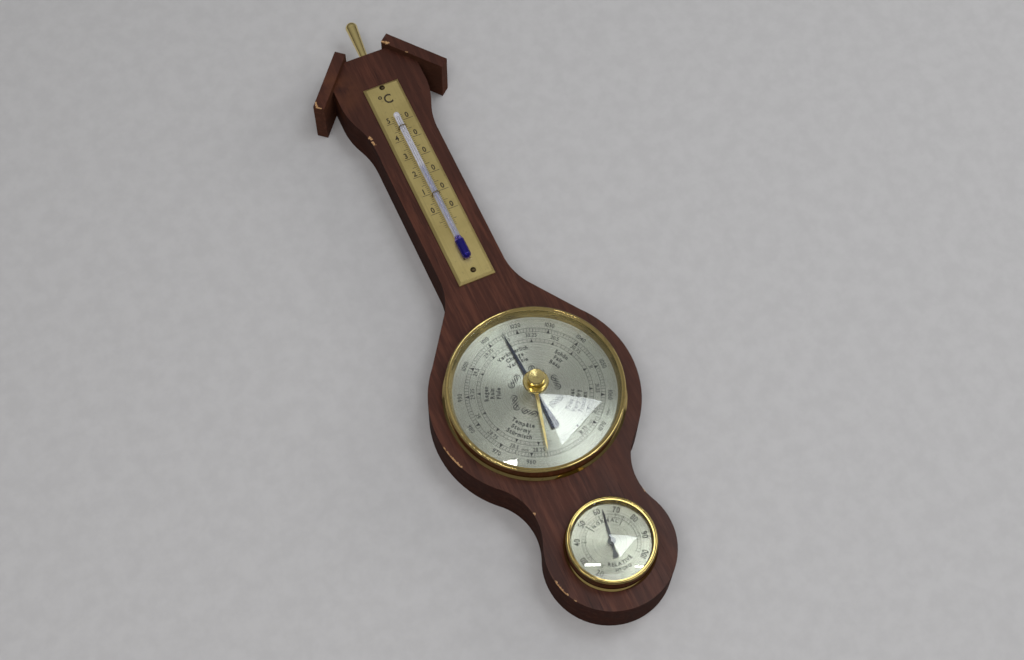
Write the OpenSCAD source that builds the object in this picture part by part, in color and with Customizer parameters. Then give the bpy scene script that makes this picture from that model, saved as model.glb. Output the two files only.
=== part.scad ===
// Banjo-shaped wall weather station: aneroid barometer, Celsius thermometer and coil
// hygrometer on one stained board with two pediment boards and a turned brass finial.
// Lies on its flat back: z = 0 is the back, +Z leaves the dials, +Y points to the finial.

/* [Board] */
// Thickness of the wooden board
board_t = 27; // [25:0.5:32]
// Diameter of the round body that carries the barometer
body_d = 122; // [120:1:130]
// Diameter of the round foot that carries the hygrometer
lobe_d = 73.6; // [70:0.4:80]
// Distance between the barometer and hygrometer centres
lobe_gap = 98.8; // [97:0.2:106]
// Radius of the hollow on each side between body and foot
waist_r = 34; // [28:1:40]
// Width of the straight neck
neck_w = 41; // [36:1:46]
// Width of the head at the top of the neck
head_w = 56.8; // [54:0.4:60]
// Height of the flat top of the head above the barometer centre
head_top = 256.2; // [252:0.2:262]
// Height above the barometer centre where the neck starts to widen into the head
flare_start = 188; // [186:1:192]
// Radius of the two curves that widen the neck into the head
flare_r = 48; // [44:1:56]
// Angle on the body circle where the sloping shoulder leaves it
shoulder_angle = 40; // [36:1:42]
// Angle of the sloping shoulder from the neck line
shoulder_slope = 34.9; // [32:0.1:36]
// Radius of the hollow between the shoulder and the neck
shoulder_r = 40; // [34:1:46]

/* [Pediment and finial] */
// Length of each pediment board
pediment_l = 43; // [38:1:48]
// Thickness of each pediment board
pediment_t = 7; // [5:0.5:8]
// Slope of the pediment boards from horizontal
pediment_slope = 50.3; // [48:0.1:52]
// How far the pediment boards stand proud of the board face
pediment_proud = 5; // [3:0.5:7]
// How far each pediment board runs past the corner of the head at its upper end
pediment_past = 2.8; // [2:0.2:3.4]
// Half width of the flat top between the pediment boards
top_half = 13.8; // [12:0.2:15]
// Diameter of the round tip of the finial
finial_d = 7.8; // [7:0.2:9]
// Diameter of the finial at its foot
finial_foot_d = 4.6; // [4:0.2:5]
// Distance from the top of the head to the centre of the finial tip
finial_l = 27.5; // [22:0.5:34]
// Height of the finial axis above the back of the board
finial_z = 20; // [13:1:20]
// Lean of the finial to the right, from use
finial_lean = 3; // [0:0.5:4]

/* [Thermometer] */
// Width of the scale plate
plate_w = 23; // [21:0.5:26]
// Length of the scale plate
plate_l = 150; // [146:1:154]
// Thickness of the scale plate
plate_t = 2; // [1.6:0.1:2.4]
// Height of the plate's lower edge above the barometer centre
plate_y = 80.7; // [79:0.1:82]
// Outside diameter of the glass tube
tube_d = 3.8; // [3.4:0.1:4]
// Outside diameter of the bulb
bulb_d = 5.8; // [5:0.1:6]
// Height of the fluid column above the bottom edge of the plate
fluid_top = 82.2; // [40:0.1:112]

/* [Barometer] */
// Outside diameter of the barometer bezel
bezel_d = 102.8; // [102:0.2:104]
// Height of the bezel rim above the board face
bezel_h = 10.4; // [10:0.1:11]
// Rise of the domed glass
glass_rise = 8; // [7:0.5:9]
// Diameter of the setting knob
knob_d = 9.6; // [8:0.2:11]
// Height of the setting knob head
knob_h = 5.4; // [4:0.2:7]
// Diameter of the collar under the knob
collar_d = 14.8; // [13:0.2:16]
// Length of the pressure hand from its axis to its point
hand_l = 40.7; // [36:0.1:42]
// Length of the set hand from its axis to its point
set_hand_l = 38.6; // [36:0.1:39]
// Diameter of the aneroid capsule
capsule_d = 38; // [34:1:40]

/* [Hygrometer] */
// Outside diameter of the hygrometer bezel
hygro_bezel_d = 50.2; // [50:0.2:51]
// Height of the hygrometer bezel rim above the board face
hygro_bezel_h = 11; // [11:0.1:11.5]
// Length of the hygrometer hand from its axis to its point
hygro_hand_l = 19.4; // [17:0.1:20]

/* [Hidden] */
$fn = 96;
small_fn = 40;

body_r = body_d / 2;
lobe_r = lobe_d / 2;
neck_half = neck_w / 2;
head_half = head_w / 2;

// the object's length is centred on y = 0
finial_top = head_top + finial_l * cos(finial_lean) + finial_d / 2;
lobe_bottom = lobe_gap + lobe_r;
dial_y = (lobe_bottom - finial_top) / 2;
hygro_y = dial_y - lobe_gap;

// hollows run this far into the curves they meet
blend = 0.05;

// the waist hollow touches the body circle and the foot circle
waist_y = (lobe_r * lobe_r - body_r * body_r - lobe_gap * lobe_gap
           + 2 * waist_r * (lobe_r - body_r)) / (2 * lobe_gap);
waist_x = sqrt((body_r + waist_r) * (body_r + waist_r) - waist_y * waist_y);
waist_body = [waist_x, waist_y] * (body_r - blend / 2) / (body_r + waist_r);
waist_lobe = [0, -lobe_gap] + [waist_x, waist_y + lobe_gap] * (lobe_r - blend / 2) / (lobe_r + waist_r);

// the shoulder is a straight slope with a hollow towards the neck
shoulder_foot = [body_r * cos(shoulder_angle), body_r * sin(shoulder_angle)]
                + 4 * [sin(shoulder_slope), -cos(shoulder_slope)];
shoulder_corner_y = shoulder_foot[1] + (shoulder_foot[0] - neck_half) / tan(shoulder_slope);
shoulder_run = shoulder_r * tan(shoulder_slope / 2);
shoulder_neck_y = shoulder_corner_y + shoulder_run;
shoulder_start = [neck_half + shoulder_run * sin(shoulder_slope),
                  shoulder_corner_y - shoulder_run * cos(shoulder_slope)];

// the neck widens to the head through two equal and opposite curves
flare_step = head_half - neck_half;
flare_angle = acos(1 - flare_step / (2 * flare_r));
flare_rise = flare_r * sin(flare_angle);
flare_mid = flare_start + flare_rise;
flare_end = flare_mid + flare_rise;
head_side_y = head_top - (head_half - top_half) * tan(pediment_slope);

// barometer case and dial stack, heights above the back of the board
case_bore_r = 46.6;
case_r = 46.2;
case_inner_r = 45.4;
case_z = 4;
case_wall = 0.8;
flange_t = 1;
flange_r = 49.6;
dial_r = 49.2;
spacer_inner_r = 45.8;
spacer_z = board_t + flange_t;
dial_z = board_t + 3.1;
dial_t = 0.8;
dial_top = dial_z + dial_t;
glass_seat = board_t + 8;
glass_edge_z = glass_seat + 1.4;
glass_r = 49.4;
glass_t = 1.6;
glass_sphere_r = (glass_r * glass_r + glass_rise * glass_rise) / (2 * glass_rise);
glass_centre_z = glass_edge_z + glass_rise - glass_sphere_r;
glass_top = glass_edge_z + glass_rise;
sight_inner_r = 46.9;
collar_hole_r = 2.6;
collar_z = glass_top + 0.05;
collar_low = 1.3;
collar_high = 2.1;
nut_z = glass_top - glass_t - 1.2;
bezel_r = bezel_d / 2;
bezel_foot_r = bezel_r + 1.3;
bezel_wall = 1.4;
rim_r = 0.95;

// hands
hand_z = board_t + 5.4;
hand_t = 0.5;
hand_angle = 93.2;
set_hand_z = board_t + 9;
set_hand_angle = -104.3;
set_shaft_r = 1.15;
running_gap = 0.06;

// movement
base_z = 7;
base_t = 1.4;
base_top = base_z + base_t;
base_r = 37;
fixing_r = 30;
fixing_angles = [90, 210, 330];
pillar_r = 33;
pillar_angles = [30, 150, 270];
arbor_r = 0.8;
pivot_r = 0.4;
pulley_r = 1.2;
chain_z = 24.6;
cock_z = 20.4;
cock_t = 1.2;
cock_post_y = 24;
bridge_z = 27;
bridge_t = 1;
bridge_post_y = 9;
lever_x = -22;
lever_z = 17.2;
lever_t = 1.2;
lever_end_x = 23.6;
lever_pin_r = 0.7;
rock_x = 26;
rock_z = 12;
rock_r = 0.9;
rock_pivot_r = 0.5;
crank_l = 3.2;
chain_y = -pulley_r - 0.5;

// hygrometer stack
hygro_bore_r = 22.2;
hygro_case_r = 21.8;
hygro_case_inner_r = 21.1;
hygro_case_z = 9;
hygro_flange_r = 23.4;
hygro_dial_z = board_t + 5.8;
hygro_dial_t = 0.6;
hygro_dial_top = hygro_dial_z + hygro_dial_t;
hygro_dial_r = 23.2;
hygro_sight_r = 21.6;
hygro_seat = board_t + 9.1;
hygro_edge_z = hygro_seat + 1;
hygro_glass_r = 23.1;
hygro_glass_t = 1.2;
hygro_rise = 4.5;
hygro_sphere_r = (hygro_glass_r * hygro_glass_r + hygro_rise * hygro_rise) / (2 * hygro_rise);
hygro_centre_z = hygro_edge_z + hygro_rise - hygro_sphere_r;
hygro_bezel_r = hygro_bezel_d / 2;
hygro_foot_r = hygro_bezel_r + 0.9;
hygro_hand_z = board_t + 7.6;
hygro_hand_angle = 79.9;
hygro_arbor_r = 0.5;
frame_z = 14;
frame_t = 1.2;
frame_r = 14;
coil_z = 17;
coil_h = 4;

// thermometer
plate_top = board_t + plate_t;
tube_z = plate_top + tube_d / 2 + 0.35;
tube_r = tube_d / 2;
bulb_r = bulb_d / 2;
bore_r = 0.55;
bulb_inner_r = bulb_r - 0.6;
tube_low = 13.6;
bulb_l = 15.8;
tube_high = 125.2;
bulb_neck_l = 3;
clip_wire_r = 0.35;
clip_r = tube_r + clip_wire_r + 0.03;
clip_heights = [62.1, 113.8];
clip_hole_r = 0.4;
plate_screw_heights = [6.3, 147];
plate_screw_head_r = 1.75;
plate_screw_r = 0.9;
plate_bevel = 1.5;
plate_bevel_h = 1.1;

// finial pin and its shallow seat in the top of the head
finial_pin_r = 1.6;
finial_pin_l = 10;
finial_seat = 0.4;
finial_collar_r = finial_foot_d / 2 + 0.4;

// hanging plate
hang_y = 222;
hang_w = 34;
hang_l = 18;
hang_t = 1.5;
keyhole_r = 4;
keyhole_slot = 4;
keyhole_l = 10;
keyhole_low = -3;
hang_screw_x = 13;

// frames: barometer axis, hygrometer axis, foot of the thermometer plate
module at_dial(z = 0) { translate([0, dial_y, z]) children(); }
module at_hygro(z = 0) { translate([0, hygro_y, z]) children(); }
module at_plate(z = 0) { translate([0, dial_y + plate_y, z]) children(); }
module mirrored() { children(); mirror([1, 0, 0]) children(); }
module ring(r_out, r_in, h) {
    rotate_extrude() translate([r_in, 0]) square([r_out - r_in, h]);
}

function flip(p) = [-p[0], p[1]];

// the block between body and foot, hollowed on both sides
module waist_outline() {
    difference() {
        polygon([waist_body, flip(waist_body), flip(waist_lobe), waist_lobe]);
        mirrored() translate([waist_x, waist_y]) circle(r = waist_r + blend);
    }
}

// the shoulders, the straight neck and the hollows between them
module neck_outline() {
    corner = [neck_half, shoulder_corner_y];
    end = [neck_half, flare_start + 1];
    polygon([shoulder_foot, corner, end, flip(end), flip(corner), flip(shoulder_foot)]);
    mirrored() difference() {
        polygon([shoulder_start, [neck_half, shoulder_neck_y], [neck_half - 4, shoulder_neck_y],
                 [neck_half - 4, shoulder_start[1] - 4], shoulder_start - [0, 4]]);
        translate([neck_half + shoulder_r, shoulder_neck_y]) circle(r = shoulder_r + blend);
    }
}

// the head, widened from the neck by two opposite curves on each side
module head_outline() {
    middle = [neck_half + flare_step / 2, flare_mid];
    start = [neck_half, flare_start];
    side = [head_half, flare_end];
    difference() {
        polygon([start, middle, flip(middle), flip(start)]);
        mirrored() translate([neck_half + flare_r, flare_start]) circle(r = flare_r);
    }
    intersection() {
        translate([-head_half - 4, flare_mid]) square([2 * head_half + 8, flare_rise]);
        translate([head_half - flare_r, flare_end]) circle(r = flare_r);
        translate([flare_r - head_half, flare_end]) circle(r = flare_r);
    }
    polygon([side, [head_half, head_side_y], [top_half, head_top],
             [-top_half, head_top], [-head_half, head_side_y], flip(side)]);
}

module board_outline() {
    circle(r = body_r, $fn = 240);
    translate([0, -lobe_gap]) circle(r = lobe_r, $fn = 180);
    waist_outline($fn = 160);
    neck_outline($fn = 160);
    head_outline($fn = 200);
}

module backboard() {
    color([0.30, 0.12, 0.07]) at_dial() difference() {
        linear_extrude(board_t) board_outline();
        translate([0, 0, -1]) cylinder(r = case_bore_r, h = board_t + 2, $fn = 180);
        translate([0, -lobe_gap, -1]) cylinder(r = hygro_bore_r, h = board_t + 2, $fn = 120);
        translate([-hang_w / 2, hang_y - hang_l / 2, -1]) cube([hang_w, hang_l, hang_t + 1]);
        translate([-6.5, hang_y - 7, 0]) cube([13, 14, 11]);
        for (s = [-1, 1]) translate([s * hang_screw_x, hang_y, 0]) cylinder(r = 1.1, h = 11, $fn = small_fn);
        for (h = plate_screw_heights) translate([0, plate_y + h, board_t - 9])
            cylinder(r = plate_screw_r, h = 10, $fn = small_fn);
        finial_axis() {
            translate([0, 0, -finial_pin_l]) cylinder(r = finial_pin_r, h = finial_pin_l, $fn = small_fn);
            translate([0, 0, -finial_seat]) cylinder(r = finial_collar_r + 0.1, h = 2, $fn = small_fn);
        }
    }
}

// a pediment board lies on the cut corner of the head
module pediment() {
    at_dial() translate([top_half, head_top, 0]) rotate([0, 0, -pediment_slope])
        translate([-pediment_past, 0, 0]) cube([pediment_l, pediment_t, board_t + pediment_proud]);
}
module pediment_right() { color([0.27, 0.11, 0.07]) pediment(); }
module pediment_left() { color([0.27, 0.11, 0.07]) mirror([1, 0, 0]) pediment(); }

// local z runs up the finial, 0 is the top of the head
module finial_axis() {
    translate([0, head_top, finial_z]) rotate([0, 0, -finial_lean]) rotate([-90, 0, 0]) children();
}
module finial() {
    tip_r = finial_d / 2;
    foot_r = finial_foot_d / 2;
    color([0.80, 0.62, 0.25]) at_dial() finial_axis() {
        translate([0, 0, -finial_pin_l]) cylinder(r = finial_pin_r, h = finial_pin_l, $fn = small_fn);
        translate([0, 0, -finial_seat]) cylinder(r = finial_collar_r, h = 1.4);
        cylinder(r1 = foot_r, r2 = tip_r * 0.97, h = finial_l - tip_r * 0.24);
        translate([0, 0, finial_l]) sphere(r = tip_r);
    }
}

module hanging_plate() {
    color([0.72, 0.66, 0.50]) at_dial() translate([0, hang_y, 0]) difference() {
        translate([-hang_w / 2, -hang_l / 2, 0]) cube([hang_w, hang_l, hang_t]);
        translate([0, keyhole_low, -1]) cylinder(r = keyhole_r, h = hang_t + 2);
        translate([-keyhole_slot / 2, keyhole_low, -1]) cube([keyhole_slot, keyhole_l - 2, hang_t + 2]);
        translate([0, keyhole_low + keyhole_l - 2, -1])
            cylinder(r = keyhole_slot / 2, h = hang_t + 2, $fn = small_fn);
        for (s = [-1, 1]) translate([s * hang_screw_x, 0, -0.01])
            cylinder(r1 = 2.4, r2 = 1.1, h = hang_t + 0.02, $fn = small_fn);
    }
}

module hanging_screws() {
    color([0.70, 0.66, 0.55]) at_dial() for (s = [-1, 1]) translate([s * hang_screw_x, hang_y, 0]) {
        difference() {
            cylinder(r1 = 2.38, r2 = 1.1, h = hang_t, $fn = small_fn);
            translate([-3, -0.3, -1]) cube([6, 0.6, 1.5]);
        }
        translate([0, 0, hang_t]) cylinder(r = 1.1, h = 8, $fn = small_fn);
    }
}

// thermometer
module thermometer_plate() {
    half = plate_w / 2;
    low = plate_t - plate_bevel_h;
    color([0.80, 0.66, 0.32]) at_plate(board_t) difference() {
        intersection() {
            translate([0, plate_l, 0]) rotate([90, 0, 0]) linear_extrude(plate_l)
                polygon([[-half, 0], [half, 0], [half, low], [half - plate_bevel, plate_t],
                         [plate_bevel - half, plate_t], [-half, low]]);
            translate([-half, 0, 0]) rotate([90, 0, 90]) linear_extrude(plate_w)
                polygon([[0, 0], [plate_l, 0], [plate_l, low], [plate_l - plate_bevel, plate_t],
                         [plate_bevel, plate_t], [0, low]]);
        }
        for (h = plate_screw_heights) translate([0, h, -1])
            cylinder(r = plate_screw_r + 0.15, h = plate_t + 2, $fn = small_fn);
        for (h = clip_heights, s = [-1, 1]) translate([s * clip_r, h, -1])
            cylinder(r = clip_hole_r, h = plate_t + 2, $fn = small_fn);
        translate([-2.2, tube_low + 0.8, -1]) cube([4.4, bulb_l - 1.6, plate_t + 2]);
    }
}

// local z runs along the tube, 0 is the lower end of the bulb
module along_tube() { at_plate(tube_z) translate([0, tube_low, 0]) rotate([-90, 0, 0]) children(); }
module tube_shape(r_bulb, r_tube, top) {
    low = bulb_r;
    translate([0, 0, low]) sphere(r = r_bulb);
    translate([0, 0, low]) cylinder(r = r_bulb, h = bulb_l - bulb_neck_l - low);
    translate([0, 0, bulb_l - bulb_neck_l]) cylinder(r1 = r_bulb, r2 = r_tube, h = bulb_neck_l);
    translate([0, 0, bulb_l]) cylinder(r = r_tube, h = top - bulb_l, $fn = small_fn);
    translate([0, 0, top]) sphere(r = r_tube, $fn = small_fn);
}
module thermometer_tube() {
    top = tube_high - tube_low - tube_r;
    color([0.85, 0.88, 0.92, 0.5]) along_tube() difference() {
        tube_shape(bulb_r, tube_r, top, $fn = 64);
        tube_shape(bulb_inner_r, bore_r, top - 2, $fn = 64);
    }
}
module thermometer_fluid() {
    color([0.08, 0.05, 0.45]) along_tube()
        tube_shape(bulb_inner_r - 0.02, bore_r - 0.02, fluid_top - tube_low, $fn = 64);
}
module tube_clips() {
    color([0.62, 0.55, 0.36]) at_plate() for (h = clip_heights) translate([0, h, 0]) {
        translate([0, 0, tube_z]) rotate([90, 0, 0]) rotate_extrude(angle = 180)
            translate([clip_r, 0]) circle(r = clip_wire_r, $fn = 20);
        for (s = [-1, 1]) translate([s * clip_r, 0, board_t + 0.1])
            cylinder(r = clip_wire_r, h = tube_z - board_t - 0.1, $fn = 20);
    }
}
module plate_screws() {
    color([0.20, 0.16, 0.10]) at_plate() for (h = plate_screw_heights) translate([0, h, 0]) {
        difference() {
            translate([0, 0, plate_top]) intersection() {
                cylinder(r = plate_screw_head_r, h = 1, $fn = small_fn);
                translate([0, 0, -1.1]) sphere(r = 2.1, $fn = 64);
            }
            translate([-2, -0.2, plate_top + 0.55]) cube([4, 0.4, 1]);
        }
        translate([0, 0, board_t - 8]) cylinder(r = plate_screw_r, h = plate_t + 8, $fn = small_fn);
    }
}

// barometer housing
module barometer_case() {
    color([0.72, 0.60, 0.34]) at_dial() difference() {
        rotate_extrude($fn = 180) polygon([[0, case_z], [case_r, case_z], [case_r, board_t],
            [flange_r, board_t], [flange_r, spacer_z], [case_inner_r, spacer_z],
            [case_inner_r, case_z + case_wall], [0, case_z + case_wall]]);
        translate([0, 0, case_z - 1]) cylinder(r = 3.6, h = case_wall + 2, $fn = 48);
        for (a = fixing_angles) rotate([0, 0, a]) translate([fixing_r, 0, case_z - 1])
            cylinder(r = 1.6, h = case_wall + 2, $fn = small_fn);
    }
}
module dial_spacer() {
    color([0.86, 0.86, 0.82]) at_dial(spacer_z) ring(dial_r, spacer_inner_r, dial_z - spacer_z, $fn = 180);
}
module barometer_dial() {
    color([0.80, 0.78, 0.68]) at_dial(dial_z) difference() {
        cylinder(r = dial_r, h = dial_t, $fn = 180);
        translate([0, 0, -1]) cylinder(r = 2.2, h = dial_t + 2, $fn = small_fn);
    }
}
module sight_ring() {
    color([0.78, 0.60, 0.24]) at_dial() rotate_extrude($fn = 180)
        polygon([[sight_inner_r, dial_top], [glass_r, dial_top], [glass_r, glass_seat],
                 [glass_r - 0.6, glass_seat]]);
}
module barometer_glass() {
    color([0.85, 0.92, 0.95, 0.3]) at_dial() difference() {
        intersection() {
            translate([0, 0, glass_seat]) cylinder(r = glass_r, h = glass_rise + 4, $fn = 180);
            translate([0, 0, glass_centre_z]) sphere(r = glass_sphere_r, $fn = 360);
        }
        translate([0, 0, glass_centre_z]) sphere(r = glass_sphere_r - glass_t, $fn = 360);
        translate([0, 0, glass_seat]) cylinder(r = collar_hole_r, h = glass_rise + 4, $fn = small_fn);
    }
}
module bezel_profile(r, foot_r, wall, h, lip_in, lip_z) {
    inner = r - wall;
    top = board_t + h;
    polygon([[inner, board_t], [foot_r, board_t], [foot_r, board_t + 0.7], [r, board_t + 2],
             [r, top - rim_r], [inner, top - rim_r]]);
    translate([r - rim_r, top - rim_r]) circle(r = rim_r, $fn = 64);
    translate([lip_in, lip_z]) square([r - rim_r - lip_in, top - lip_z - 0.25]);
}
module barometer_bezel() {
    color([0.82, 0.63, 0.24]) at_dial() rotate_extrude($fn = 180)
        bezel_profile(bezel_r, bezel_foot_r, bezel_wall, bezel_h, 48.8, glass_edge_z + 0.3);
}
module knob_collar() {
    color([0.80, 0.62, 0.26]) at_dial() difference() {
        union() {
            translate([0, 0, nut_z - 0.6]) cylinder(r = collar_hole_r - 0.1, h = collar_z - nut_z + 1);
            translate([0, 0, collar_z]) cylinder(r = collar_d / 2, h = 0.8);
            translate([0, 0, collar_z + 0.8])
                cylinder(r1 = collar_d / 2, r2 = collar_d / 2 - 0.5, h = collar_low - 0.8);
            translate([0, 0, collar_z]) cylinder(r = collar_d / 2 - 1.6, h = collar_high);
        }
        translate([0, 0, nut_z - 2]) cylinder(r = set_shaft_r + running_gap, h = 20, $fn = small_fn);
    }
}
module collar_nut() {
    color([0.75, 0.58, 0.26]) at_dial(nut_z) ring(4.4, collar_hole_r - 0.1, 1, $fn = 64);
}
module set_knob() {
    low = collar_z + collar_high + 0.35;
    color([0.84, 0.66, 0.28]) at_dial() {
        translate([0, 0, set_hand_z - 0.5])
            cylinder(r = set_shaft_r, h = low - set_hand_z + 1, $fn = small_fn);
        translate([0, 0, low]) rotate_extrude() polygon([[0, 0], [knob_d / 2 - 1.4, 0],
            [knob_d / 2 - 1.4, 0.9], [knob_d / 2 - 0.2, 1.9], [knob_d / 2, 2.4], [knob_d / 2, knob_h - 0.4],
            [knob_d / 2 - 0.4, knob_h], [0, knob_h - 0.25]]);
    }
}
// local x runs along each hand
module set_hand() {
    color([0.78, 0.62, 0.28]) at_dial(set_hand_z) rotate([0, 0, set_hand_angle]) difference() {
        union() {
            cylinder(r = 2.2, h = 1, $fn = small_fn);
            linear_extrude(0.4) polygon([[-6, -0.9], [0, -1.1], [set_hand_l - 5, -0.55],
                [set_hand_l, 0], [set_hand_l - 5, 0.55], [0, 1.1], [-6, 0.9]]);
        }
        translate([0, 0, -1]) cylinder(r = set_shaft_r, h = 3, $fn = small_fn);
    }
}
module pressure_hand() {
    color([0.10, 0.12, 0.16]) at_dial(hand_z) rotate([0, 0, hand_angle]) difference() {
        union() {
            translate([0, 0, -0.4]) cylinder(r = 2.6, h = 1.3, $fn = 48);
            linear_extrude(hand_t) polygon([[0, -1.2], [hand_l - 10, -0.6], [hand_l, 0],
                [hand_l - 10, 0.6], [0, 1.2], [-8, 1.0], [-24.2, 2.5], [-25.2, 1.9], [-25.2, -1.9],
                [-24.2, -2.5], [-8, -1.0]]);
        }
        translate([0, 0, -1]) cylinder(r = arbor_r, h = 3, $fn = small_fn);
    }
}

// movement
module hand_arbor() {
    low = cock_z + cock_t + 0.3;
    color([0.70, 0.70, 0.68]) at_dial() {
        translate([0, 0, cock_z]) cylinder(r = pivot_r, h = cock_t + 0.4, $fn = small_fn);
        translate([0, 0, low]) cylinder(r = arbor_r, h = hand_z + 1.3 - low, $fn = small_fn);
        translate([0, 0, low]) cylinder(r = 1.4, h = 0.9, $fn = small_fn);
    }
}
module chain_pulley() {
    color([0.80, 0.64, 0.30]) at_dial(chain_z) difference() {
        union() {
            translate([0, 0, -0.9]) cylinder(r = 2.3, h = 0.35, $fn = small_fn);
            translate([0, 0, -0.55]) cylinder(r = pulley_r, h = 1.1, $fn = small_fn);
            translate([0, 0, 0.55]) cylinder(r = 2.3, h = 0.35, $fn = small_fn);
        }
        translate([0, 0, -2]) cylinder(r = arbor_r, h = 4, $fn = small_fn);
    }
}
module base_plate() {
    color([0.66, 0.66, 0.64]) at_dial(base_z) difference() {
        cylinder(r = base_r, h = base_t, $fn = 120);
        translate([0, 0, -1]) cylinder(r = 2.36, h = base_t + 2, $fn = small_fn);
        for (a = fixing_angles) rotate([0, 0, a]) translate([fixing_r, 0, -1])
            cylinder(r = 1.2, h = base_t + 2, $fn = small_fn);
    }
}
module base_spacers() {
    low = case_z + case_wall;
    color([0.75, 0.72, 0.62]) at_dial(low) for (a = fixing_angles) rotate([0, 0, a])
        translate([fixing_r, 0, 0]) ring(3, 1.6, base_z - low, $fn = 48);
}
module case_screws() {
    color([0.62, 0.62, 0.60]) at_dial() for (a = fixing_angles) rotate([0, 0, a])
        translate([fixing_r, 0, 0]) {
            difference() {
                translate([0, 0, case_z - 1.5]) cylinder(r = 2.7, h = 1.5, $fn = small_fn);
                translate([-3, -0.35, case_z - 2]) cube([6, 0.7, 1.2]);
            }
            translate([0, 0, case_z]) cylinder(r = 1.2, h = base_top - case_z, $fn = small_fn);
        }
}
module dial_pillars() {
    color([0.78, 0.62, 0.30]) at_dial(base_top) for (a = pillar_angles) rotate([0, 0, a])
        translate([pillar_r, 0, 0]) cylinder(r = 2.2, h = dial_z - base_top, $fn = small_fn);
}
module aneroid_capsule() {
    r = capsule_d / 2;
    low = base_top + 1;
    color([0.74, 0.72, 0.66]) at_dial() rotate_extrude() polygon([[3.2, base_top], [6, base_top],
        [6, low], [r - 9.5, low], [r - 8, low + 0.5], [r - 6.5, low], [r - 5, low + 0.5], [r - 3.5, low],
        [r - 1.5, low + 0.4], [r - 1.5, low + 2.2], [r, low + 2.2], [r, low + 3], [r - 1.5, low + 3],
        [r - 1.5, low + 4.8], [r - 3.5, low + 5.2], [r - 5, low + 4.7], [r - 6.5, low + 5.2],
        [r - 8, low + 4.7], [r - 9.5, low + 5.2], [3.6, low + 5.2], [3.6, low + 5.8], [1.4, low + 5.8],
        [1.4, low + 6.3], [0, low + 6.5], [0, low + 0.4], [3.2, low + 0.4]]);
}
module adjusting_screw() {
    color([0.78, 0.62, 0.30]) at_dial() difference() {
        translate([0, 0, case_z - 0.6]) cylinder(r = 2.3, h = base_top - case_z + 0.8, $fn = small_fn);
        translate([-3, -0.35, case_z - 1]) cube([6, 0.7, 1.4]);
    }
}
module lever_bracket() {
    color([0.68, 0.68, 0.66]) at_dial() difference() {
        union() {
            translate([lever_x - 9, -6, base_top]) cube([6.6, 12, 1]);
            for (s = [-1, 1]) translate([lever_x - 4.4, s * 5.2 - 0.5, base_top])
                cube([6, 1, lever_z - base_top + 1.8]);
            translate([lever_x - 4.4, -5.7, base_top]) cube([1, 11.4, 7]);
        }
        translate([lever_x, 7, lever_z]) rotate([90, 0, 0]) cylinder(r = lever_pin_r, h = 14, $fn = small_fn);
        for (s = [-1, 1]) translate([lever_x - 7, s * 3.4, base_top - 1])
            cylinder(r = 0.8, h = 3, $fn = small_fn);
    }
}
module lever_pin() {
    color([0.60, 0.60, 0.60]) at_dial() translate([lever_x, 6.2, lever_z]) rotate([90, 0, 0])
        cylinder(r = lever_pin_r, h = 12.4, $fn = small_fn);
}
module main_lever() {
    color([0.80, 0.66, 0.34]) at_dial() difference() {
        union() {
            translate([lever_x, -2.6, lever_z - lever_t / 2]) cube([lever_end_x - lever_x, 5.2, lever_t]);
            translate([lever_x, 4.4, lever_z]) rotate([90, 0, 0]) cylinder(r = 1.7, h = 8.8, $fn = 48);
        }
        translate([lever_x, 7, lever_z]) rotate([90, 0, 0])
            cylinder(r = lever_pin_r + running_gap, h = 14, $fn = small_fn);
        translate([rock_x - crank_l, 1.2, lever_z - 2]) cylinder(r = 0.4, h = 4, $fn = small_fn);
    }
}
// the link hangs from the lever and passes through the eye of the crank
module link_rod() {
    color([0.62, 0.62, 0.60]) at_dial() translate([rock_x - crank_l, 1.2, 0]) {
        translate([0, 0, rock_z - 2.2]) cylinder(r = 0.4, h = lever_z - rock_z + 3.2, $fn = small_fn);
        for (z = [rock_z - 2.2, rock_z + 1.2]) translate([0, 0, z])
            cylinder(r = 0.9, h = 0.6, $fn = small_fn);
        translate([0, 0, lever_z + lever_t / 2]) cylinder(r = 0.9, h = 0.6, $fn = small_fn);
    }
}
module rocking_shaft() {
    color([0.66, 0.66, 0.64]) at_dial() difference() {
        union() {
            translate([rock_x, 6, rock_z]) rotate([90, 0, 0]) cylinder(r = rock_r, h = 12, $fn = small_fn);
            translate([rock_x, 8, rock_z]) rotate([90, 0, 0])
                cylinder(r = rock_pivot_r, h = 16, $fn = small_fn);
            translate([rock_x - crank_l - 1.5, -0.3, rock_z - 0.4]) cube([crank_l + 1.6, 3, 0.8]);
            translate([rock_x - 0.8, chain_y - 1.35, rock_z]) cube([1.6, 0.9, chain_z - rock_z + 0.6]);
        }
        translate([rock_x - crank_l, 1.2, rock_z - 2]) cylinder(r = 0.85, h = 4, $fn = small_fn);
    }
}
module rocking_bracket() {
    color([0.68, 0.68, 0.66]) at_dial() difference() {
        union() {
            for (s = [-1, 1]) translate([rock_x - 1.6, s * 7 - 0.5, base_top])
                cube([3.2, 1, rock_z - base_top + 2]);
            translate([rock_x - 1.6, -7.5, base_top]) cube([8.4, 15, 0.8]);
        }
        translate([rock_x, 9, rock_z]) rotate([90, 0, 0])
            cylinder(r = rock_pivot_r + 0.05, h = 18, $fn = small_fn);
        for (s = [-1, 1]) translate([rock_x + 4.6, s * 3.4, base_top - 1])
            cylinder(r = 0.8, h = 3, $fn = small_fn);
    }
}
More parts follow.
